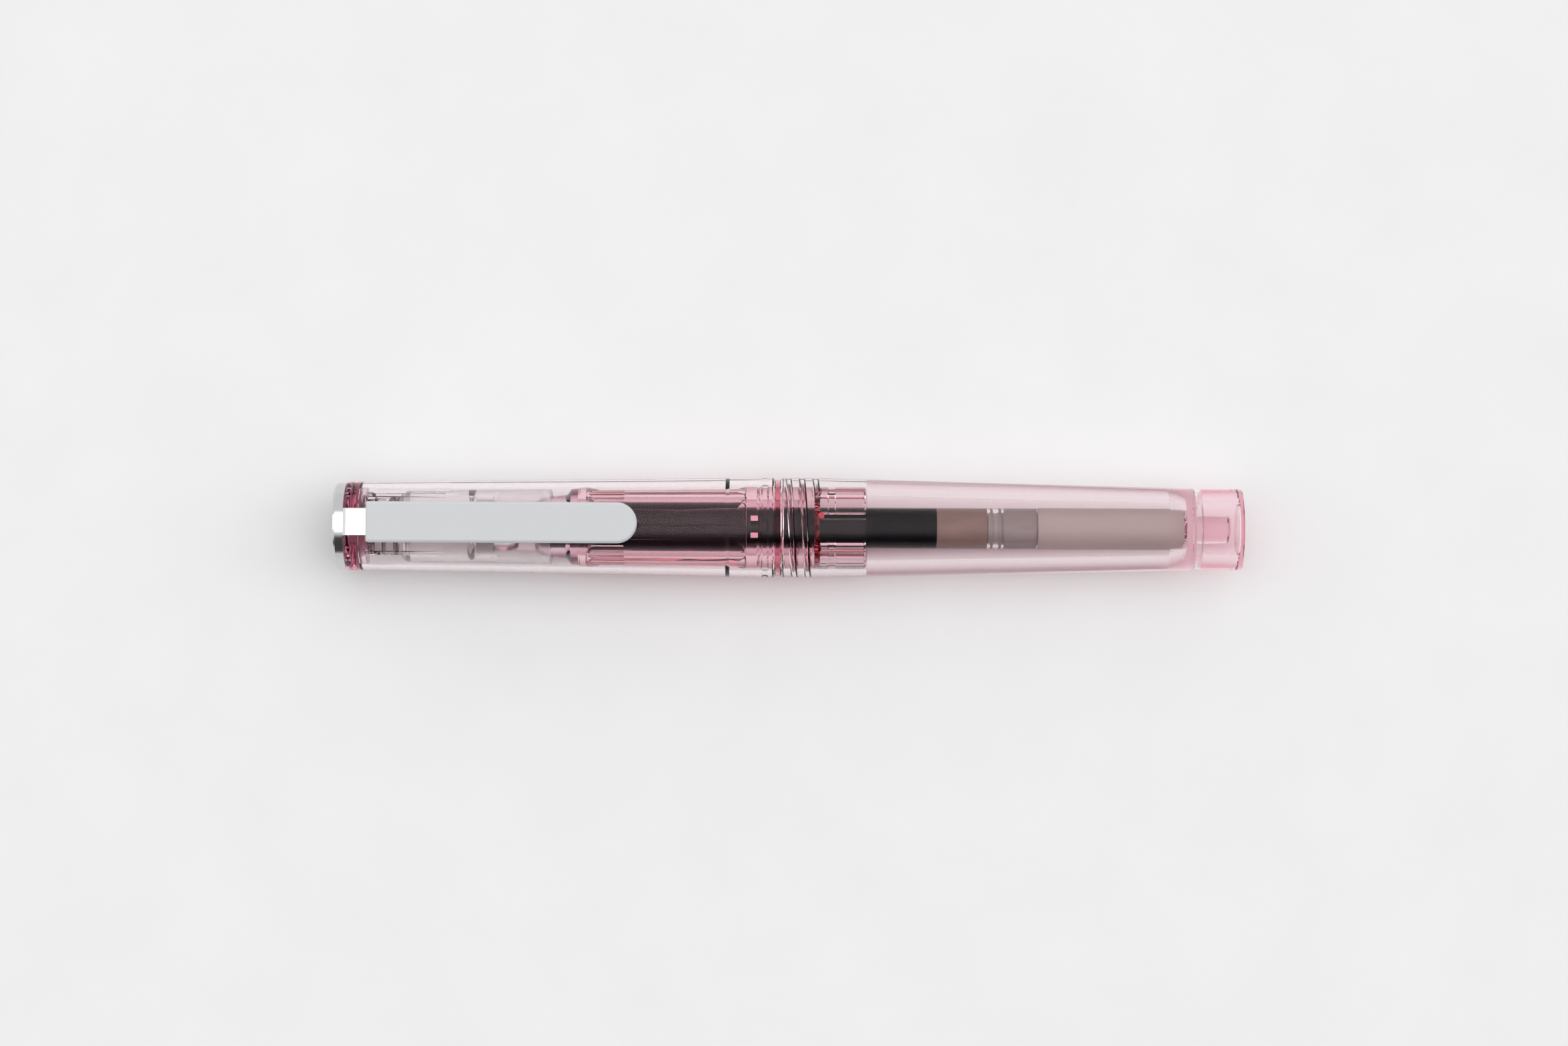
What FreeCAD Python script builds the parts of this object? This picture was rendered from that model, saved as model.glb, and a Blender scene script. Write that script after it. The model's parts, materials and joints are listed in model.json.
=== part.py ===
"""Capped fountain pen with a see-through body, lying along X with its cap to the left and its clip on top.

Every piece is first drawn about the X axis, with x as the distance from the cap's metal end, and is then
moved so that the origin is at the bottom centre of the whole pen's box. Millimetres throughout.
A polar angle is measured about X from straight up (+Z) towards +Y.
"""
import FreeCAD, Part
import math
import os
from FreeCAD import Placement, Rotation, Vector

# ---- driving dimensions -------------------------------------------------------------------------------
LENGTH = 134.7          # whole pen, capped
MAX_R = 7.42            # cap lip
MOUTH_R = 7.385         # barrel mouth, a touch smaller so that the pen lies on its cap
SHELL_SEAM = 2.45       # the two shells' seam lines stand this many degrees off the pen's side
TINY = 0.02             # gap between pieces that only touch

# stations along the pen
DISC_END = 2.10         # metal end disc
HEAD_END = 4.26         # coloured cap head
INNER_CAP_START = 10.10
INNER_CAP_END = 32.50
COLLAR_START = 34.75    # nose meets the flange of the nib holder
GRIP_START = 36.55
GRIP_END = 63.15
CAP_LIP = 65.45
BARREL_START = 66.43
SKIRT_END = 78.90
BARREL_END = 127.50

# cap
CAP_HEAD_R = 6.56
CAP_R0 = 6.59           # outside of the cap shell at the head
CAP_BORE0 = 5.72        # bore at the head
CAP_BORE1 = 6.20        # bore where it steps out for the section's collar
CAP_BORE_LIP = 6.42
CAP_STEP = 58.25        # start of that step
SEAL_START, SEAL_END = 21.55, 23.95     # seal inside the inner cap

# clip
TAB_END = 2.45          # front of the ring's tab, which stands in a notch of the head
HINGE_Z = 6.62          # height above the axis where the tab ends and the strap begins
CLIP_UNDER, CLIP_TOP = 8.30, 9.72       # underside and top of the clip's sleeve above the axis
STRAP_HALF, STRAP_T = 2.0, 0.55
STRAP_LOW = CLIP_UNDER + 0.42           # underside of the strap
STRAP_END = 41.0
SLEEVE_START, SLEEVE_END, SLEEVE_HALF = 5.88, 45.43, 2.98

# section and barrel
NIB_TIP = 12.9
NOSE_LIP = 21.0         # front of the holder's lower lip
HOLDER_SLEEVE_R = 4.18
HOLDER_BORE = 3.20
GRIP_BORE = 4.28
GRIP_R0, GRIP_R1 = 5.94, 6.06
GRIP_TURN = -2.7        # the grip is left turned this far from square to the nib
FACET_ANGLE = 63.0      # from the index marks to the first facet
COUPLER_R = 6.12
THREAD_PITCH = 2.0
THREAD_ROOT, THREAD_CREST = 6.06, 6.56      # male thread
THREAD_MINOR, THREAD_MAJOR = 6.19, 6.64     # female thread
THREAD_START = BARREL_START + 0.55          # first turn of the male thread, at the bottom of the coupler
THREAD_SINK = 0.08      # how far each thread's root is sunk into its cylinder
SKIRT_R, SKIRT_BORE = 6.06, 5.07
SLOT_START, SLOT_ANGLE = 72.35, 13          # round end of each skirt slot, and where the first slot is
PLUG_R = 6.02

# converter
FEED_TAIL_R = 3.08
CUP_END = 61.35         # end of the feed's cup, which the converter's mouth is pushed into
TUBE_START, TUBE_END = 57.0, 104.30
TUBE_R, TUBE_BORE = 3.04, 2.45
KNOB_END = 126.00
INK_END = 89.35
PISTON_START = 96.80
LEAD = 4.5              # piston travel for one turn of the knob
PEG_X = 106.6           # the knob's peg sits in the rod's groove here, straight up


# ---- helpers ------------------------------------------------------------------------------------------
def turned(*outline, seam=0):
    """Solid of revolution about X from the corners (x, r) of its half section. seam turns where it closes."""
    corners = [Vector(x, r, 0) for x, r in outline]
    face = Part.Face(Part.makePolygon(corners + corners[:1]))
    face.rotate(Vector(0, 0, 0), Vector(1, 0, 0), seam)
    return face.revolve(Vector(0, 0, 0), Vector(1, 0, 0), 360)


def rod(x0, x1, r):
    return Part.makeCylinder(r, x1 - x0, Vector(x0, 0, 0), Vector(1, 0, 0))


def block(x0, x1, y0, y1, z0, z1):
    return Part.makeBox(x1 - x0, y1 - y0, z1 - z0, Vector(x0, y0, z0))


def turn(shape, angle):
    """A copy turned about X so that what pointed up points at this polar angle."""
    return shape.copy().rotate(Vector(0, 0, 0), Vector(1, 0, 0), -angle)


def around(shape, count, first=0.0):
    """count copies, evenly spaced about X, the first at this polar angle."""
    return [turn(shape, first + 360.0 * k / count) for k in range(count)]


def joined(shape, others):
    return shape.multiFuse(others).removeSplitter()


def without(shape, others):
    return shape.cut(Part.makeCompound(others)).removeSplitter()


def taper(x, x0, r0, x1, r1):
    """Radius at x of the straight taper from (x0, r0) to (x1, r1)."""
    return r0 + (r1 - r0) * (x - x0) / (x1 - x0)


def extruded(corners, y0, y1):
    """Prism along Y from corners in the XZ plane."""
    points = [Vector(x, y0, z) for x, z in corners]
    return Part.Face(Part.makePolygon(points + points[:1])).extrude(Vector(0, y1 - y0, 0))


def helix_ridge(pitch, turns, radius, outline, x_start):
    """Right-handed helical ridge about X. outline holds (along, outward) corners about the helix line."""
    path = Part.makeHelix(pitch, pitch * turns, radius)
    corners = [Vector(radius + out, 0, along) for along, out in outline]
    profile = Part.makePolygon(corners + corners[:1])
    ridge = Part.Wire(path.Edges).makePipeShell([profile], True, True)
    ridge = ridge if isinstance(ridge, Part.Solid) else Part.Solid(ridge)
    ridge.rotate(Vector(0, 0, 0), Vector(0, 1, 0), 90)
    ridge.translate(Vector(x_start, 0, 0))
    return ridge


# ---- cap ----------------------------------------------------------------------------------------------
def cap_outside(x):
    return taper(x, HEAD_END, CAP_R0, CAP_LIP, MAX_R)


def cap_bore(x):
    return taper(x, HEAD_END, CAP_BORE0, CAP_STEP, CAP_BORE1)


def cap_shell():
    """Thick clear tube, stepped out near its lip, with guide ribs for the inner cap and four snap bumps."""
    edge = 0.15
    step_run = 0.6
    shell = turned(
        (HEAD_END + TINY, CAP_BORE0),
        (CAP_STEP, CAP_BORE1),
        (CAP_STEP + step_run, CAP_BORE_LIP),
        (CAP_LIP - 2 * edge, CAP_BORE_LIP),
        (CAP_LIP, CAP_BORE_LIP + edge),
        (CAP_LIP, MAX_R - edge),
        (CAP_LIP - edge, MAX_R),
        (HEAD_END + edge, CAP_R0),
        (HEAD_END + TINY, CAP_R0 - edge),
        seam=SHELL_SEAM,
    )
    rib_height, rib_end = 0.12, 16.95
    rib = block(HEAD_END + 1.4, rib_end, -0.3, 0.3, CAP_BORE0 - rib_height, CAP_BORE0 + 0.3)
    bump_x, bump_reach = 64.1, 6.22
    ball = Part.makeSphere(1.55, Vector(0, 0, 0))
    squeeze = FreeCAD.Matrix()
    squeeze.scale(Vector(0.42, 1.0, 0.35))
    ball = ball.transformGeometry(squeeze)
    ball.translate(Vector(bump_x, 0, bump_reach + 1.55 * 0.35))
    bump = ball.common(rod(bump_x - 1, bump_x + 1, MAX_R - 0.3))
    return joined(shell, around(rib, 4, 45) + around(bump, 4))


def cap_head():
    """Coloured head behind the metal disc: pocketed rim, spring seat and the fingers that keep the spring."""
    x0 = DISC_END + TINY
    flange = turned((x0, 0), (x0, CAP_HEAD_R - 0.12), (x0 + 0.12, CAP_HEAD_R), (HEAD_END, CAP_HEAD_R),
                    (HEAD_END, 0))
    stud = rod(0.60, x0 + 0.1, 2.3)
    notch = block(x0 - 0.1, TAB_END + TINY, -2.05, 2.05, 4.95, 7.0)
    spigot = rod(HEAD_END - 0.1, HEAD_END + 1.0, CAP_BORE0 - 0.05)
    recess = turned((HEAD_END + 0.25, 0), (HEAD_END + 0.25, 4.75), (HEAD_END + 1.1, 4.75), (HEAD_END + 1.1, 0))
    boss = turned((HEAD_END, 0), (HEAD_END, 3.3), (HEAD_END + 1.2, 3.1), (HEAD_END + 1.2, 0))
    finger = extruded([(HEAD_END, 4.72), (HEAD_END + 2.4, 4.95), (HEAD_END + 2.4, 5.15), (HEAD_END + 1.9, 5.45),
                       (HEAD_END, 5.45)], -0.55, 0.55)
    slot = block(x0 + 0.15, x0 + 0.95, -2.0, 2.0, 4.9, 7.0)
    window = block(x0 + 0.15, x0 + 0.95, -0.75, 0.75, 4.9, 7.0)
    pockets = [turn(slot, a) for a in (-151, -35, 35, 151)] + [turn(window, a) for a in (-123, -62, 62, 123)]
    pockets.append(notch)
    body = joined(flange.cut(Part.makeCompound(pockets)), [stud, spigot])
    return joined(body.cut(recess), [boss] + around(finger, 4, 52))


def cap_disc():
    """Plated pressed cup that closes the cap: flat middle, domed edge, straight skirt over the clip's ring."""
    return turned((0, 0), (0, 2.8), (0.20, 4.8), (0.36, 5.75), (0.50, 6.12), (0.66, 6.33), (0.90, 6.44),
                  (DISC_END, 6.44), (DISC_END, 6.22), (1.75, 6.22), (1.75, 2.35), (0.58, 2.35), (0.58, 0))


def clip_ring():
    """Steel ring inside the disc's skirt, with the joggled tab that carries the clip."""
    ring = turned((1.77, 2.36), (1.77, 6.20), (DISC_END - 0.02, 6.20), (DISC_END - 0.02, 2.36))
    foot = block(1.90, TAB_END, -STRAP_HALF, STRAP_HALF, 5.0, 5.85)
    tab = block(DISC_END + 0.03, TAB_END, -STRAP_HALF, STRAP_HALF, 5.0, HINGE_Z - 0.06)
    return joined(ring, [foot, tab])


def clip_strap():
    """Polished steel strap: short leaning leg, tight bend, and the long run inside the sleeve."""
    leg, top = DISC_END + 0.04, STRAP_LOW + STRAP_T
    base = HINGE_Z + 0.04
    outline = [(leg, base), (leg + 0.34, top - 0.5), (leg + 0.42, top - 0.22), (leg + 0.60, top - 0.05),
               (leg + 0.82, top), (STRAP_END, top), (STRAP_END, STRAP_LOW), (leg + 1.25, STRAP_LOW),
               (leg + 0.98, STRAP_LOW - 0.2), (leg + 0.55, base)]
    strap = extruded(outline, -STRAP_HALF, STRAP_HALF)
    return strap.makeFillet(0.08, [e for e in strap.Edges if e.Length > 30])


def clip_sleeve():
    """Moulded clip cover: round-nosed plate, crowned on top, with a contact bead under its tip."""
    x_arc = SLEEVE_END - SLEEVE_HALF
    start = [Vector(SLEEVE_START, -SLEEVE_HALF, CLIP_UNDER), Vector(x_arc, -SLEEVE_HALF, CLIP_UNDER),
             Vector(SLEEVE_END, 0, CLIP_UNDER), Vector(x_arc, SLEEVE_HALF, CLIP_UNDER),
             Vector(SLEEVE_START, SLEEVE_HALF, CLIP_UNDER)]
    outline = Part.Wire([Part.makeLine(start[0], start[1]), Part.Arc(start[1], start[2], start[3]).toShape(),
                         Part.makeLine(start[3], start[4]), Part.makeLine(start[4], start[0])])
    plate = Part.Face(outline).extrude(Vector(0, 0, CLIP_TOP - CLIP_UNDER))
    corners = [e for e in plate.Edges if abs(e.tangentAt(e.FirstParameter).z) > 0.9 and
               abs(e.CenterOfMass.x - SLEEVE_START) < 0.01]
    plate = plate.makeFillet(0.30, corners)
    top_edges = [e for e in plate.Edges if all(abs(v.Z - CLIP_TOP) < 1e-6 for v in e.Vertexes)]
    plate = plate.makeFillet(0.42, top_edges)
    low_edges = [e for e in plate.Edges if all(abs(v.Z - CLIP_UNDER) < 1e-6 for v in e.Vertexes)]
    plate = plate.makeFillet(0.15, low_edges)
    slot = block(SLEEVE_START - 1, STRAP_END + TINY, -STRAP_HALF - TINY, STRAP_HALF + TINY, STRAP_LOW - TINY,
                 STRAP_LOW + STRAP_T + TINY)
    bead_x = 42.0
    bead_low = cap_outside(bead_x) + 0.05
    bead_r = 1.25
    bead = Part.makeSphere(bead_r, Vector(bead_x, 0, bead_low + bead_r))
    bead = bead.common(block(bead_x - 2, bead_x + 2, -2, 2, bead_low - 1, CLIP_UNDER + 0.2))
    return joined(plate.cut(slot), [bead])


def inner_cap_spring():
    """Compression spring: a closed turn at each end and one open turn between, as one wire."""
    wire_r, mean_r = 0.24, 4.12
    turns_at = ((0.0, 4.83), (1.25, 6.05), (2.25, 8.98), (3.30, 9.80))      # (turns, x) along the wire
    points = []
    for step in range(int(3.30 * 24) + 1):
        turns = step / 24.0
        for (t0, x0), (t1, x1) in zip(turns_at, turns_at[1:]):
            if t0 <= turns <= t1:
                x = taper(turns, t0, x0, t1, x1)
        angle = 2 * math.pi * turns
        points.append(Vector(x, mean_r * math.sin(angle), mean_r * math.cos(angle)))
    curve = Part.BSplineCurve()
    curve.interpolate(points)
    path = Part.Wire([curve.toShape()])
    section = Part.Wire([Part.makeCircle(wire_r, points[0], curve.tangent(curve.FirstParameter)[0])])
    return path.makePipeShell([section], True, True)


def inner_cap_outside(x):
    return taper(x, INNER_CAP_START + 1.0, 5.34, INNER_CAP_END, 5.56)


def inner_cap():
    """Milky inner cap that slides against the spring and closes round the nose."""
    x0, x1 = INNER_CAP_START, INNER_CAP_END
    shell = turned((x0, 0), (x0, 4.45), (x0 + 0.35, 4.95), (x0 + 1.0, inner_cap_outside(x0 + 1.0)),
                   (x1 - 0.1, 5.56), (x1, 5.46), (x1, 4.88), (SEAL_END + 0.65, 4.76), (SEAL_END + 0.65, 4.45),
                   (SEAL_END + 0.05, 4.45), (SEAL_END + 0.05, 4.15), (SEAL_START - 0.05, 4.15),
                   (SEAL_START - 0.05, 4.55), (x0 + 1.6, 4.60), (x0 + 1.0, 4.0), (x0 + 1.0, 0))
    vent = Part.makeCylinder(1.75, 3, Vector(0, 0, 3.9), Vector(0, 0, 1))
    squeeze = FreeCAD.Matrix()
    squeeze.scale(Vector(0.30, 1.0, 1.0))
    vent = vent.transformGeometry(squeeze)
    vent.translate(Vector(20.85, 0, 0))
    return without(shell, [turn(vent, angle) for angle in (-118, -45, 62, 135)])


def inner_cap_seal():
    """Soft ring inside the inner cap that stops the nib drying out."""
    x0, x1 = SEAL_START, SEAL_END
    return turned((x0 + 0.2, 3.66), (x0, 3.80), (x0, 4.13), (x1, 4.13), (x1, 3.80), (x1 - 0.2, 3.66))


# ---- section ------------------------------------------------------------------------------------------
def nib():
    """Steel nib: conical leaf cut to a point, with slit, breather hole and a ball tip."""
    base, shoulder = 30.75, 20.0
    r_base, r_tip, sheet = 2.98, 1.62, 0.24
    outer = turned((NIB_TIP - 1, 0), (NIB_TIP - 1, r_tip), (shoulder, r_base), (base, r_base), (base, 0))
    inner = turned((NIB_TIP - 2, 0), (NIB_TIP - 2, r_tip - sheet - 0.1), (shoulder, r_base - sheet),
                   (base + 1, r_base - sheet), (base + 1, 0))
    leaf = outer.cut(inner)
    half = 2.72
    plan = [Vector(NIB_TIP, -0.22, 0), Vector(NIB_TIP + 5.2, -1.65, 0), Vector(shoulder + 1.0, -half, 0),
            Vector(base, -half, 0)]
    mirror = [Vector(p.x, -p.y, 0) for p in reversed(plan)]
    curve = Part.BSplineCurve()
    curve.interpolate(plan[:3])
    curve2 = Part.BSplineCurve()
    curve2.interpolate(mirror[1:])
    wire = Part.Wire([curve.toShape(), Part.makeLine(plan[2], plan[3]), Part.makeLine(plan[3], mirror[0]),
                      Part.makeLine(mirror[0], mirror[1]), curve2.toShape(), Part.makeLine(mirror[3], plan[0])])
    leaf = leaf.common(Part.Face(wire).extrude(Vector(0, 0, 5)))
    leaf = leaf.common(block(NIB_TIP - 2, base + 1, -4, 4, 0.35, 5))
    slit = block(NIB_TIP - 1, shoulder - 0.6, -0.05, 0.05, 0, 5)
    breather = Part.makeCylinder(0.45, 5, Vector(shoulder - 0.6, 0, 0), Vector(0, 0, 1))
    leaf = leaf.cut(Part.makeCompound([slit, breather]))
    tip_z = max(v.Z for v in leaf.Vertexes if v.X < NIB_TIP + 0.3) - 0.22
    ball = Part.makeSphere(0.42, Vector(NIB_TIP + 0.1, 0, tip_z))
    ball = ball.cut(slit)
    return joined(leaf, [ball])


def feed():
    """Black ink feed: pointed and finned in front, plain inside the holder, with a cup and nipple behind."""
    r_in = 2.68
    front = NIB_TIP + 2.2
    body = turned((front, 0), (front, 0.65), (19.5, 2.15), (27.5, r_in), (30.9, r_in), (30.9, 0))
    top_trim = extruded([(front - 1, 1.05), (20.0, 2.2), (20.0, 5), (front - 1, 5)], -4, 4)
    body = body.cut(top_trim)
    fins = [block(x, x + 0.22, -4, 4, -4, 0.35) for x in [17.2 + 0.52 * k for k in range(18)]]
    core = turned((front, 0), (front, 0.6), (19.5, 1.25), (31, 1.25), (31, 0))
    body = body.cut(Part.makeCompound(fins)).fuse(core.common(block(front, 31, -4, 4, -4, 1.0)))
    tail = turned((30.8, 0), (30.8, r_in), (31.2, FEED_TAIL_R), (CUP_END, FEED_TAIL_R), (CUP_END, 2.86),
                  (56.9, 2.86), (56.9, 1.28), (60.8, 1.18), (61.2, 0.95), (61.2, 0))
    channel = block(front + 0.4, 61.3, -0.18, 0.18, 0.9, 5)
    vent_hole = rod(45.0, 61.3, 0.45)
    return joined(body, [tail]).cut(Part.makeCompound([channel, vent_hole])).removeSplitter()


def nib_holder():
    """Coloured nose and flange in one piece with the sleeve that runs back through the grip."""
    nose = turned((NOSE_LIP, 0), (NOSE_LIP, 3.35), (NOSE_LIP + 0.25, 3.52), (27.05, 3.57), (27.50, 3.72),
                  (30.20, 3.82), (31.1, 4.25), (31.9, 4.46), (COLLAR_START, 4.75), (35.45, 5.62),
                  (36.0, 5.70), (GRIP_START - TINY, 5.72), (GRIP_START - TINY, HOLDER_SLEEVE_R),
                  (69.0, HOLDER_SLEEVE_R), (69.0, 0))
    bore = turned((NOSE_LIP - 1, 0), (NOSE_LIP - 1, 3.02), (30.8, 3.02), (31.1, HOLDER_BORE),
                  (70.0, HOLDER_BORE), (70.0, 0))
    window = extruded([(NOSE_LIP - 1, 0.30), (25.9, 0.30), (27.7, 2.2), (28.2, 5), (NOSE_LIP - 1, 5)], -5, 5)
    return without(nose, [bore, window])


def grip():
    """Clear grip with three softly crowned facets, fine grooves near the front and an index window."""
    edge = 0.2
    body = turned((GRIP_START, GRIP_BORE), (GRIP_START, 5.74), (GRIP_START + edge, GRIP_R0 - 0.10),
                  (GRIP_START + 2.5, GRIP_R0), (61.6, GRIP_R1), (GRIP_END - edge, GRIP_R1),
                  (GRIP_END, GRIP_R1 - edge), (GRIP_END, GRIP_BORE))
    offset = 3.62
    front, rear = GRIP_START + 0.8, 61.6
    crown = Part.makeCone(8.88, 9.22, 62.0 - 36.0, Vector(36.0, 0, -offset), Vector(1, 0, 0))
    ramp = extruded([(front, 6.4), (front + 0.5, 5.6), (front + 2.2, 4.6), (rear - 1.9, 4.6), (rear - 0.5, 5.5),
                     (rear, 6.4)], -7, 7)
    facet = ramp.cut(crown)
    grooves = []
    groove_r, groove_end = 0.20, 43.3
    for k in range(-3, 5):
        y = (k - 0.5) * 1.06
        surface = math.sqrt(8.94 ** 2 - y ** 2) - offset
        start = Vector(front + 0.9, y, surface + 0.06)
        groove = Part.makeCylinder(groove_r, groove_end - start.x, start, Vector(1, 0, 0))
        grooves.append(groove.fuse(Part.makeSphere(groove_r, start)))
    tools = []
    for k in range(3):
        angle = FACET_ANGLE + 120 * k
        tools.append(turn(facet, angle))
        tools += [turn(g, angle) for g in grooves]
    body = body.cut(Part.makeCompound(tools))
    mark_r, mark_x = 6.14, 62.0
    window = block(mark_x, GRIP_END + 1, -0.78, 0.78, 5.2, 7)
    bars = [block(mark_x, GRIP_END - 0.02, y - 0.33, y + 0.33, 5.6, 7).common(rod(61, 64, mark_r))
            for y in (-1.2, 1.2)]
    pointer = extruded([(61.4, 6.0), (61.65, mark_r), (61.8, mark_r), (61.95, 6.0), (61.95, 5.7), (61.4, 5.7)],
                       -0.45, 0.45)
    return turn(joined(body.cut(window), bars + [pointer]), GRIP_TURN)


def coupler():
    """Threaded coupler behind the grip: cap seat, male thread and the slotted skirt inside the barrel."""
    groove0, groove1 = 63.55, 64.65
    body = turned((GRIP_END + 0.05, HOLDER_SLEEVE_R + TINY), (GRIP_END + 0.05, COUPLER_R - 0.12),
                  (GRIP_END + 0.17, COUPLER_R), (groove0, COUPLER_R), (groove0 + 0.2, COUPLER_R - 0.16),
                  (groove1 - 0.2, COUPLER_R - 0.16), (groove1, COUPLER_R), (BARREL_START - 0.1, COUPLER_R),
                  (BARREL_START + 0.1, THREAD_ROOT), (73.3, SKIRT_R), (73.45, SKIRT_R - 0.14),
                  (74.35, SKIRT_R - 0.14), (74.5, SKIRT_R), (SKIRT_END - 0.2, SKIRT_R),
                  (SKIRT_END, SKIRT_R - 0.2), (SKIRT_END, SKIRT_BORE), (72.2, SKIRT_BORE), (71.4, HOLDER_SLEEVE_R + TINY))
    height = THREAD_CREST - THREAD_ROOT + THREAD_SINK
    ridge = helix_ridge(THREAD_PITCH, 2.1, THREAD_ROOT - THREAD_SINK,
                        [(-0.48, 0), (-0.20, height), (0.20, height), (0.48, 0)], THREAD_START)
    slot_half = 0.45
    slot = block(SLOT_START, SKIRT_END + 1, -slot_half, slot_half, SKIRT_BORE - 0.6, SKIRT_R + 1)
    slot = slot.fuse(Part.makeCylinder(slot_half, 3, Vector(SLOT_START, 0, SKIRT_BORE - 0.6), Vector(0, 0, 1)))
    return without(body, around(slot, 8, SLOT_ANGLE)).fuse(ridge)


def index_dot():
    """Alignment dot: a small plug in the round end of one skirt slot."""
    plug = Part.makeCylinder(0.45 - TINY, 0.9, Vector(SLOT_START, 0, SKIRT_R - 0.95), Vector(0, 0, 1))
    return turn(plug, SLOT_ANGLE)


def mouth_ring():
    """Soft coloured ring that seals the barrel's mouth and cushions the cap's lip."""
    bore = THREAD_CREST + 0.08
    return turned((CAP_LIP + 0.08, bore), (CAP_LIP + 0.08, 7.02), (CAP_LIP + 0.18, 7.12),
                  (BARREL_START - 0.12, 7.12), (BARREL_START - TINY, 7.02), (BARREL_START - TINY, bore))


# ---- barrel -------------------------------------------------------------------------------------------
def barrel():
    """Thick-walled clear barrel: threaded mouth, tapered bore with a conical bottom, and a tail boss."""
    edge = 0.15
    bore0, bore1, bore_end = 4.87, 3.94, 123.8
    shell = turned((BARREL_START, THREAD_MAJOR + 0.06), (BARREL_START, MOUTH_R - edge),
                   (BARREL_START + edge, MOUTH_R), (72.2, MOUTH_R - 0.01), (BARREL_END, 6.08),
                   (BARREL_END, 2.15), (132.7, 2.02), (132.95, 1.8), (132.95, 0), (126.3, 0), (126.3, 3.15),
                   (bore_end, bore1), (SKIRT_END + 0.25, bore0), (SKIRT_END + 0.20, THREAD_MINOR),
                   (BARREL_START + 0.45, THREAD_MINOR), seam=SHELL_SEAM)
    height = THREAD_MAJOR - THREAD_MINOR + THREAD_SINK
    groove = helix_ridge(THREAD_PITCH, 3.4, THREAD_MINOR - THREAD_SINK,
                         [(-0.52, 0), (-0.27, height), (0.27, height), (0.52, 0)], THREAD_START - THREAD_PITCH)
    return shell.cut(groove)


def end_plug():
    """Deeper-coloured end plug, a cup that closes the barrel's tail."""
    edge = 0.14
    x0 = BARREL_END + TINY
    return turned((x0, 5.72), (x0, PLUG_R - 0.03), (x0 + 0.06, PLUG_R), (LENGTH - edge, PLUG_R),
                  (LENGTH, PLUG_R - edge), (LENGTH, 0), (134.25, 0), (134.25, 3.55), (134.05, 3.80),
                  (128.95, 3.80), (128.95, 3.72), (x0, 3.72), (x0, 3.86), (128.55, 3.86), (128.55, 5.72))


# ---- converter ----------------------------------------------------------------------------------------
def converter_tube():
    """Clear reservoir tube, with the narrow mouth that seals on the feed's nipple."""
    shoulder = CUP_END + 0.05
    return turned((TUBE_START, 1.34), (TUBE_START, 2.65), (TUBE_START + 0.15, 2.80), (shoulder, 2.80),
                  (shoulder, TUBE_R), (TUBE_END, TUBE_R), (TUBE_END, TUBE_BORE), (61.3, TUBE_BORE),
                  (61.25, 1.34))


def ink():
    """Ink left in the reservoir."""
    return rod(61.4, INK_END, TUBE_BORE - TINY)


def converter_bush():
    """Milky bush in the tube's tail: guides the flats of the piston rod."""
    x0 = PISTON_START + 2.36
    body = turned((x0, 0), (x0, 2.2), (x0 + 0.2, TUBE_BORE - TINY), (TUBE_END - 0.05, TUBE_BORE - TINY),
                  (TUBE_END - 0.05, 0))
    keyway = rod(98, 105, 1.06).common(block(98, 105, -0.76, 0.76, -2, 2))
    return body.cut(keyway)


def piston_seal():
    """Soft piston head with two wiping lips."""
    lip = TUBE_BORE - TINY
    return turned((PISTON_START, 0), (PISTON_START, 1.6), (PISTON_START + 0.25, 2.2), (PISTON_START + 0.6, lip),
                  (PISTON_START + 0.95, lip), (PISTON_START + 1.15, 2.25), (PISTON_START + 1.6, 2.25),
                  (PISTON_START + 1.8, lip), (PISTON_START + 2.2, lip), (PISTON_START + 2.3, 2.3),
                  (PISTON_START + 2.3, 0))


def piston_rod():
    """Flatted rod with a helical groove, driven along by the knob's peg."""
    x0, x1 = PISTON_START + 2.3 + TINY, 125.1
    body = rod(x0, x1, 1.0).common(block(x0, x1, -0.70, 0.70, -2, 2))
    groove = helix_ridge(LEAD, 1.02, 0.72, [(-0.36, 0), (-0.36, 0.6), (0.36, 0.6), (0.36, 0)], 0)
    for k in range(-3, 5):
        body = body.cut(groove.translated(Vector(PEG_X + (k - 0.5) * LEAD, 0, 0)))
    return body


def converter_knob():
    """Smoky twist knob with the peg that runs in the rod's groove."""
    x0 = TUBE_END + 0.05
    body = turned((x0, 1.3), (x0, 2.95), (x0 + 0.15, 3.07), (KNOB_END - 0.22, 3.07), (KNOB_END - 0.06, 3.0),
                  (KNOB_END, 2.85), (KNOB_END, 0), (125.4, 0), (125.4, 1.55), (115.4, 1.55), (115.4, 1.3))
    peg = Part.makeCylinder(0.24, 0.75, Vector(PEG_X, 0, 0.80), Vector(0, 0, 1))
    return joined(body, [peg])


# ---- build --------------------------------------------------------------------------------------------
PIECES = (cap_disc, clip_ring, clip_strap, clip_sleeve, cap_head, cap_shell, inner_cap_spring, inner_cap,
          inner_cap_seal, nib, feed, nib_holder, grip, coupler, index_dot, mouth_ring, barrel, end_plug,
          converter_tube, ink, converter_bush, piston_seal, piston_rod, converter_knob)


def main():
    os.makedirs("parts", exist_ok=True)
    for piece in PIECES:
        shape = piece()
        shape.translate(Vector(-LENGTH / 2, 0, MAX_R))
        assert shape.isValid() and shape.Volume > 0, piece.__name__
        shape.exportStep(f"parts/{piece.__name__}.step")
        print(f"{piece.__name__:18s} solids {len(shape.Solids)}  volume {shape.Volume:9.2f} mm3")


main()
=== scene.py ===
"""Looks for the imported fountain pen: materials, a few finer pieces, the table, soft light and the camera.

Everything is in metres in the row frame: the pen lies along X, cap end at -X, and its axis is AXIS_Z above
the table. Places along the pen are given in millimetres from the cap's metal end, and at() turns them into
the row frame.
"""

import json
import math

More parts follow.
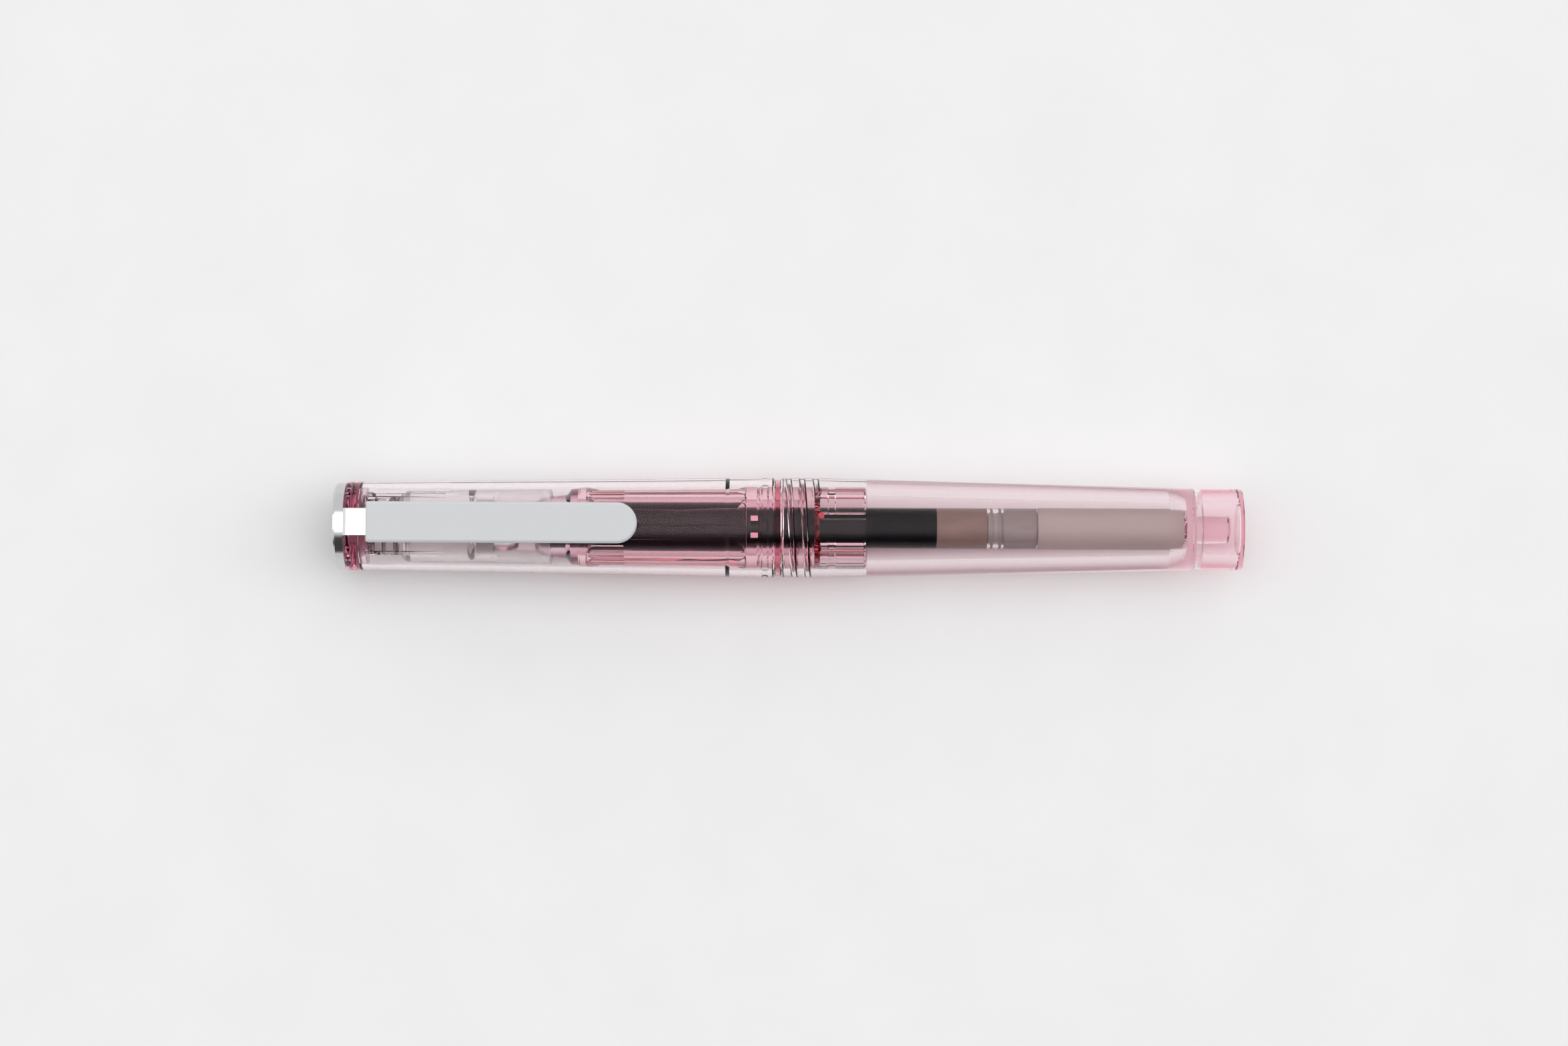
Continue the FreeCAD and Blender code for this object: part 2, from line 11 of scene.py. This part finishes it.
import bmesh
import bpy
from mathutils import Matrix, Vector

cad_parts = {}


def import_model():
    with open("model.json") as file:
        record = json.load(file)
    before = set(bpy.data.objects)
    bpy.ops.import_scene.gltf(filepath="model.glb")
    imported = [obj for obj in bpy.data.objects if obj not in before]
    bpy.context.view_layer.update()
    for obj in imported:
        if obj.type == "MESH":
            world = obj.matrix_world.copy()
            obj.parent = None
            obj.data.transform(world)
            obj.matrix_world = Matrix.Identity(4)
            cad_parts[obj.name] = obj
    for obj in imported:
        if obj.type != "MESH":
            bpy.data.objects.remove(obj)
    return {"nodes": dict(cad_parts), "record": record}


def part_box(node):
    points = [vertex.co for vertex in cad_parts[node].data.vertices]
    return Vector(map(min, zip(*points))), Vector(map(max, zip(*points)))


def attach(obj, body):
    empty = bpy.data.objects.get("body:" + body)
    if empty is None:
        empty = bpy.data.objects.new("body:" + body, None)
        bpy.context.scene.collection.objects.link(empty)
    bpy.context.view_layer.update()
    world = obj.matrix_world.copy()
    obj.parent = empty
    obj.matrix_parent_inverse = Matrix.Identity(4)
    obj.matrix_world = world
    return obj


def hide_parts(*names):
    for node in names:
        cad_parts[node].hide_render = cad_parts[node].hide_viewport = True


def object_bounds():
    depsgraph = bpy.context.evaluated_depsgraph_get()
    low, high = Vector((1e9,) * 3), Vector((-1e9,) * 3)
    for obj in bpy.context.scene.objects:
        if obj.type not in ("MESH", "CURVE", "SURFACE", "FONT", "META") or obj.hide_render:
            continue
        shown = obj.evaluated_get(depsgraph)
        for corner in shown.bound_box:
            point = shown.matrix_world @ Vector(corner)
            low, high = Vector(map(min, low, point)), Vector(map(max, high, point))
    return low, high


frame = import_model()
cad_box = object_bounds()
nodes = frame["nodes"]

MM = 0.001
CAP_END_X = cad_box[0].x
AXIS_Z = (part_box("barrel")[0].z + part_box("barrel")[1].z) / 2


def at(x):
    """Row-frame X of a distance in millimetres from the cap's metal end."""
    return CAP_END_X + x * MM


def distance(x):
    """Distance in millimetres from the cap's metal end of a row-frame X."""
    return (x - CAP_END_X) / MM


# ---- materials ----------------------------------------------------------------------------------------
MATERIALS = {}


def new_material(name):
    """Fresh material with a plain shader, kept in MATERIALS under its name."""
    material = bpy.data.materials.new(name)
    MATERIALS[name] = material
    material.use_nodes = True
    tree = material.node_tree
    tree.nodes.clear()
    output = tree.nodes.new("ShaderNodeOutputMaterial")
    shader = tree.nodes.new("ShaderNodeBsdfPrincipled")
    tree.links.new(shader.outputs["BSDF"], output.inputs["Surface"])
    return tree, shader, output


def noise(tree, scale, stretch=(1, 1, 1)):
    """Noise in the row frame, scale in cycles per metre."""
    coords = tree.nodes.new("ShaderNodeTexCoord")
    mapping = tree.nodes.new("ShaderNodeMapping")
    mapping.inputs["Scale"].default_value = stretch
    texture = tree.nodes.new("ShaderNodeTexNoise")
    texture.inputs["Scale"].default_value = scale
    texture.inputs["Detail"].default_value = 3.0
    tree.links.new(coords.outputs["Object"], mapping.inputs["Vector"])
    tree.links.new(mapping.outputs["Vector"], texture.inputs["Vector"])
    return texture.outputs["Fac"]


def ramp(tree, value, low, high, start=0.3, end=0.7):
    """Colour that goes from low to high as value goes from start to end."""
    node = tree.nodes.new("ShaderNodeValToRGB")
    node.color_ramp.elements[0].position = start
    node.color_ramp.elements[0].color = (*low, 1)
    node.color_ramp.elements[1].position = end
    node.color_ramp.elements[1].color = (*high, 1)
    tree.links.new(value, node.inputs["Fac"])
    return node.outputs["Color"]


def spread(tree, value, low, high):
    """value, which lies between 0 and 1, mapped to low..high."""
    node = tree.nodes.new("ShaderNodeMapRange")
    node.inputs["To Min"].default_value = low
    node.inputs["To Max"].default_value = high
    tree.links.new(value, node.inputs["Value"])
    return node.outputs["Result"]


def bump(tree, shader, value, height):
    """Fine relief, height in metres."""
    node = tree.nodes.new("ShaderNodeBump")
    node.inputs["Strength"].default_value = 0.3
    node.inputs["Distance"].default_value = height
    tree.links.new(value, node.inputs["Height"])
    tree.links.new(node.outputs["Normal"], shader.inputs["Normal"])


def opaque(name, low, high, rough=(0.3, 0.4), metallic=0.0, grain=2500, stretch=(1, 1, 1), relief=0.0,
           specular=0.5):
    """Plastic, rubber or metal whose colour and roughness drift a little over its surface."""
    tree, shader, _ = new_material(name)
    pattern = noise(tree, grain, stretch=stretch)
    tree.links.new(ramp(tree, pattern, low, high), shader.inputs["Base Color"])
    tree.links.new(spread(tree, pattern, *rough), shader.inputs["Roughness"])
    shader.inputs["Metallic"].default_value = metallic
    shader.inputs["Specular IOR Level"].default_value = specular
    if relief:
        bump(tree, shader, pattern, relief)


PLASTIC_IOR = 1.49
FLOW_GRAIN = 900        # cycles per metre of the faint streaks along a moulded part
GLINT = 0.16            # scales the plastic's head-on reflection, which soft light all round hardly shows


def clear(name, tint, density=0.0, surface=(1, 1, 1), surface_to=None, rough=(0.0, 0.03), shade=(1, 1, 1),
          transmission=1.0):
    """Clear plastic: tint colours what passes through its depth, with density per metre, surface what passes
    each face, and shade is what lamplight keeps at each face."""
    tree, shader, output = new_material(name)
    pattern = noise(tree, FLOW_GRAIN, stretch=(0.25, 1, 1))
    tree.links.new(ramp(tree, pattern, surface, surface_to or surface), shader.inputs["Base Color"])
    tree.links.new(spread(tree, pattern, *rough), shader.inputs["Roughness"])
    shader.inputs["Transmission Weight"].default_value = transmission
    shader.inputs["IOR"].default_value = PLASTIC_IOR
    shader.inputs["Specular Tint"].default_value = (GLINT, GLINT, GLINT, 1)
    path = tree.nodes.new("ShaderNodeLightPath")
    lets_through = tree.nodes.new("ShaderNodeBsdfTransparent")
    lets_through.inputs["Color"].default_value = (*shade, 1)
    mix = tree.nodes.new("ShaderNodeMixShader")
    tree.links.new(path.outputs["Is Shadow Ray"], mix.inputs["Fac"])
    tree.links.new(shader.outputs["BSDF"], mix.inputs[1])
    tree.links.new(lets_through.outputs["BSDF"], mix.inputs[2])
    tree.links.new(mix.outputs["Shader"], output.inputs["Surface"])
    if density:
        absorb = tree.nodes.new("ShaderNodeVolumeAbsorption")
        absorb.inputs["Color"].default_value = (*tint, 1)
        absorb.inputs["Density"].default_value = density
        tree.links.new(absorb.outputs["Volume"], output.inputs["Volume"])


# metal and grey plastic
opaque("plated_steel", (0.62, 0.62, 0.63), (0.70, 0.70, 0.71), rough=(0.12, 0.18), metallic=1, grain=9000,
       stretch=(3, 1, 1))
opaque("polished_steel", (0.80, 0.80, 0.82), (0.86, 0.86, 0.88), rough=(0.05, 0.09), metallic=1, grain=4000)
opaque("spring_steel", (0.20, 0.16, 0.15), (0.30, 0.25, 0.24), rough=(0.25, 0.35), metallic=1)
opaque("grey_cover", (0.56, 0.57, 0.59), (0.59, 0.60, 0.615), rough=(0.42, 0.5), grain=6000, relief=2e-5,
       specular=0.4)
# see-through parts: a pale shell, deeper tints inside it, and milky or smoky converter parts
clear("clear_pink_shell", (0.95, 0.24, 0.46), 46, shade=(0.99, 0.975, 0.98))
# the barrel's grey surface colour is painted shade: it darkens the bore as if the converter's shadow fell in
# it
clear("pink_barrel_painted_shade", (0.94, 0.30, 0.46), 34, surface=(0.925, 0.905, 0.912),
      surface_to=(0.935, 0.915, 0.922), shade=(0.98, 0.97, 0.972))
clear("clear_pink_grip", (0.90, 0.22, 0.36), 125, shade=(0.98, 0.95, 0.96))
clear("clear_rose", (0.82, 0.22, 0.42), 95, surface=(0.86, 0.80, 0.83), shade=(0.95, 0.85, 0.88))
clear("clear_rose_plug", (0.95, 0.16, 0.38), 62, shade=(0.98, 0.93, 0.95))
clear("milky_plastic", (0.95, 0.84, 0.85), 30, surface=(0.99, 0.98, 0.98), rough=(0.16, 0.22),
      shade=(0.97, 0.955, 0.955), transmission=0.94)
clear("soft_seal", (0.8, 0.78, 0.77), 60, surface=(0.42, 0.37, 0.36), surface_to=(0.47, 0.42, 0.41),
      rough=(0.4, 0.5), shade=(0.5, 0.48, 0.48), transmission=0.25)
clear("rose_seal", (0.80, 0.10, 0.24), 330, surface=(0.90, 0.66, 0.72), rough=(0.01, 0.05),
      shade=(0.92, 0.80, 0.83))
clear("clear_tube", (0.9, 0.85, 0.85), 20, shade=(0.95, 0.95, 0.95))
clear("smoke_plastic", (0.75, 0.66, 0.62), 80, surface=(0.60, 0.53, 0.51), rough=(0.3, 0.42),
      shade=(0.7, 0.67, 0.66), transmission=0.5)
clear("ink_stain", (0.5, 0.4, 0.38), surface=(0.40, 0.30, 0.265), surface_to=(0.50, 0.38, 0.34),
      rough=(0.25, 0.4), shade=(0.6, 0.5, 0.46), transmission=0.6)
# painted refraction: the reddish pink of the grip's index bars stands in for light seen through the clear
# bars
clear("painted_refraction_red", (0.9, 0.3, 0.4), 100, surface=(0.80, 0.36, 0.44), surface_to=(0.86, 0.42, 0.50),
      rough=(0.25, 0.35), shade=(0.8, 0.5, 0.55), transmission=0.25)
# dark parts, the red dot, whose red is painted refraction, and the table
opaque("black_plastic", (0.012, 0.010, 0.012), (0.02, 0.017, 0.02), rough=(0.3, 0.42), specular=0.15)
opaque("black_ink", (0.002, 0.002, 0.003), (0.005, 0.004, 0.006), rough=(0.05, 0.08), specular=0.03)
# painted refraction: the red dot's saturated red stands in for light passing a long way through the pink
# resin
opaque("red_dot", (0.48, 0.01, 0.03), (0.58, 0.02, 0.05), rough=(0.25, 0.35))
opaque("table_top", (0.80, 0.80, 0.80), (0.82, 0.82, 0.82), rough=(0.55, 0.65), grain=60, specular=0.2)


def paint(obj, material):
    obj.data.materials.clear()
    obj.data.materials.append(MATERIALS[material])


def smooth(obj, angle=30):
    """Round faces shade smoothly and edges sharper than angle stay sharp."""
    obj.data.shade_smooth()
    obj.data.set_sharp_from_angle(angle=math.radians(angle))


# Nodes that share a slot with others and look a little different from them. The barrel's copy of the pale
# shell is less pink, and its grey surface colour is painted shade for the darker inside of its bore.
OWN_LOOK = {"barrel": "pink_barrel_painted_shade", "end_plug": "clear_rose_plug", "converter_bush": "soft_seal"}
slots = {part["node"]: part["material_slot"] for part in frame["record"]["subparts"]}
for name, obj in nodes.items():
    paint(obj, OWN_LOOK.get(name, slots[name]))
    smooth(obj)


# ---- finer pieces -------------------------------------------------------------------------------------
def around_axis(mesh, x, r, angle):
    """Vertex of mesh at distance x along the pen and r from its axis, both in millimetres. Angle 0 is up."""
    return mesh.verts.new((at(x), r * MM * math.sin(angle), AXIS_Z + r * MM * math.cos(angle)))


def piece(name, mesh, material):
    """Turn the finished mesh into an object of the scene."""
    bmesh.ops.recalc_face_normals(mesh, faces=mesh.faces)
    data = bpy.data.meshes.new(name)
    mesh.to_mesh(data)
    mesh.free()
    obj = bpy.data.objects.new(name, data)
    bpy.context.scene.collection.objects.link(obj)
    paint(obj, material)
    return obj


def revolved(name, outline, material):
    """Closed ring or solid of revolution about the pen's axis from (x, r) corners in millimetres."""
    steps = 96
    mesh = bmesh.new()
    rings = []
    for x, r in outline:
        if r == 0:
            rings.append([around_axis(mesh, x, 0, 0)] * steps)
        else:
            rings.append([around_axis(mesh, x, r, 2 * math.pi * k / steps) for k in range(steps)])
    for first, second in zip(rings, rings[1:] + rings[:1]):
        for k in range(steps):
            corners = [first[k], first[(k + 1) % steps], second[(k + 1) % steps], second[k]]
            unique = list(dict.fromkeys(corners))
            if len(unique) >= 3:
                mesh.faces.new(unique)
    obj = piece(name, mesh, material)
    smooth(obj)
    return obj


def patch(name, x_range, arc_range, radius, thickness, material, turned_by):
    """Thin curved plate on a cylinder about the pen's axis, in millimetres along the pen and round it."""
    steps = 6
    mesh = bmesh.new()
    layers = []
    for r in (radius, radius + thickness):
        rows = []
        for x in x_range:
            row = []
            for k in range(steps + 1):
                arc = arc_range[0] + (arc_range[1] - arc_range[0]) * k / steps
                row.append(around_axis(mesh, x, r, arc / radius + math.radians(turned_by)))
            rows.append(row)
        layers.append(rows)
    (inner_front, inner_back), (outer_front, outer_back) = layers
    for a, b in ((inner_front, inner_back), (outer_front, outer_back), (inner_front, outer_front),
                 (inner_back, outer_back)):
        for k in range(steps):
            mesh.faces.new((a[k], a[k + 1], b[k + 1], b[k]))
    for k in (0, steps):
        mesh.faces.new((inner_front[k], inner_back[k], outer_back[k], outer_front[k]))
    return piece(name, mesh, material)


# ---- the converter's insides --------------------------------------------------------------------------
WALL_TOUCH = 0.035      # swells the seal and bush on to the tube's wall, so that no film of air shows between
BORE_TOUCH = 2.455      # a little more than the tube's bore, so that what wets the wall touches it
MENISCUS = 0.12         # how far the ink creeps up the wall
FILM = 0.05             # thickness of the brown film that ink has left on the wall
FILM_GAPS = (0.15, 0.1) # from the ink to the film, and how far the film runs in over the seal

for name in ("piston_seal", "converter_bush"):
    touch = nodes[name].modifiers.new("touch", "DISPLACE")
    touch.strength = WALL_TOUCH * MM
    touch.mid_level = 0.0

ink_start = distance(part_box("ink")[0].x)
ink_end = distance(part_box("ink")[1].x)
seal_front = distance(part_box("piston_seal")[0].x)

ink_surface = [(ink_end + MENISCUS * t ** 2.5, BORE_TOUCH * t)
               for t in (1.0, 0.95, 0.88, 0.78, 0.65, 0.5, 0.3, 0.0)]
ink_fill = revolved("ink_fill", [(ink_start, 0), (ink_start, BORE_TOUCH)] + ink_surface, "black_ink")
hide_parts("ink")
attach(ink_fill, "core")

film_start = ink_end + FILM_GAPS[0]
film_end = seal_front + FILM_GAPS[1]
film = [(film_start, BORE_TOUCH), (film_end, BORE_TOUCH),
        (film_end, BORE_TOUCH - FILM), (film_start, BORE_TOUCH - FILM)]
ink_stain = revolved("ink_stain", film, "ink_stain")
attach(ink_stain, "core")


# ---- index bars on the grip, their reddish colour painted refraction ----------------------------------
GRIP_TURN = -2.7        # degrees the grip has been left turned in the rest pose
BAR_X = (62.02, 63.08)
BAR_HALF = 0.36
BAR_RADIUS = 6.142      # just clear of the grip's rear collar
for side, centre in (("left", -1.2), ("right", 1.2)):
    bar_arc = (centre - BAR_HALF, centre + BAR_HALF)
    bar = patch("index_bar_" + side, BAR_X, bar_arc, BAR_RADIUS, 0.03, "painted_refraction_red", GRIP_TURN)
    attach(bar, "grip")


# ---- stage --------------------------------------------------------------------------------------------
def table():
    """Pale floor, far wider than the view."""
    mesh = bpy.data.meshes.new("table_top")
    half = 3.0
    corners = [(-half, -half, 0), (half, -half, 0), (half, half, 0), (-half, half, 0)]
    mesh.from_pydata(corners, [], [(0, 1, 2, 3)])
    obj = bpy.data.objects.new("table_top", mesh)
    bpy.context.scene.collection.objects.link(obj)
    paint(obj, "table_top")


def lamp(name, size, place, look_at, power):
    """Soft rectangular lamp, in metres and watts."""
    data = bpy.data.lights.new(name, "AREA")
    data.shape = "RECTANGLE"
    data.size, data.size_y = size
    data.energy = power
    obj = bpy.data.objects.new(name, data)
    obj.location = place
    obj.rotation_euler = (Vector(look_at) - Vector(place)).to_track_quat("-Z", "Y").to_euler()
    bpy.context.scene.collection.objects.link(obj)


# Directions over which the room falls off to dark: towards the near side, and up from the table.
DARK_SIDE = (("Y", -0.42, -0.56), ("Z", 0.12, 0.24))


def world(bright, dark):
    """Pale room, dark above the table on the near side, where whoever looks at the pen stands."""
    sky = bpy.data.worlds.new("studio")
    bpy.context.scene.world = sky
    sky.use_nodes = True
    tree = sky.node_tree
    coords = tree.nodes.new("ShaderNodeTexCoord")
    split = tree.nodes.new("ShaderNodeSeparateXYZ")
    tree.links.new(coords.outputs["Generated"], split.inputs["Vector"])
    level = None
    for axis, start, end in DARK_SIDE:
        node = tree.nodes.new("ShaderNodeMapRange")
        node.inputs["From Min"].default_value = start
        node.inputs["From Max"].default_value = end
        tree.links.new(split.outputs[axis], node.inputs["Value"])
        if level is None:
            level = node.outputs["Result"]
        else:
            times = tree.nodes.new("ShaderNodeMath")
            times.operation = "MULTIPLY"
            tree.links.new(level, times.inputs[0])
            tree.links.new(node.outputs["Result"], times.inputs[1])
            level = times.outputs["Value"]
    light = tree.nodes.new("ShaderNodeMapRange")
    light.inputs["To Min"].default_value = bright
    light.inputs["To Max"].default_value = dark
    tree.links.new(level, light.inputs["Value"])
    background = tree.nodes["Background"]
    background.inputs["Color"].default_value = (1, 1, 1, 1)
    tree.links.new(light.outputs["Result"], background.inputs["Strength"])


# Seen from almost straight above. Metres, and degrees for the two turns.
VIEW_HEIGHT = 0.51
VIEW_WIDTH = 0.2329
VIEW_TILT = 4.1
VIEW_TURN = 0.24
VIEW_CENTRE = (-0.00045, 0.00071)
SENSOR = 36             # millimetres


def camera():
    """Long lens over the pen's middle."""
    data = bpy.data.cameras.new("camera")
    data.sensor_width = SENSOR
    data.lens = SENSOR * VIEW_HEIGHT / VIEW_WIDTH
    obj = bpy.data.objects.new("camera", data)
    turn = Matrix.Rotation(math.radians(VIEW_TURN), 4, "Z") @ Matrix.Rotation(math.radians(VIEW_TILT), 4, "X")
    centre = Matrix.Translation((*VIEW_CENTRE, AXIS_Z))
    obj.matrix_world = centre @ turn @ Matrix.Translation((0, 0, VIEW_HEIGHT))
    bpy.context.scene.collection.objects.link(obj)
    bpy.context.scene.camera = obj


def render_settings():
    """Light paths long enough for tubes inside tubes."""
    scene = bpy.context.scene
    scene.view_settings.view_transform = "Standard"
    scene.view_settings.look = "None"
    cycles = scene.cycles
    cycles.max_bounces = 32
    cycles.transmission_bounces = 28
    cycles.glossy_bounces = 8
    cycles.diffuse_bounces = 4
    cycles.transparent_max_bounces = 48
    cycles.caustics_reflective = False
    cycles.caustics_refractive = True
    cycles.blur_glossy = 0.3
    cycles.sample_clamp_indirect = 6
    cycles.use_denoising = True
    cycles.denoiser = "OPENIMAGEDENOISE"


table()
world(0.80, 0.06)
lamp("overhead", (1.5, 1.2), (0, 0.17, 1.15), (0, 0.17, 0), 5.0)
lamp("left", (0.8, 0.8), (-1.2, 0.15, 1.0), (0, 0, 0), 3.2)
lamp("right", (0.8, 0.8), (1.2, 0.15, 1.0), (0, 0, 0), 3.2)
camera()
render_settings()
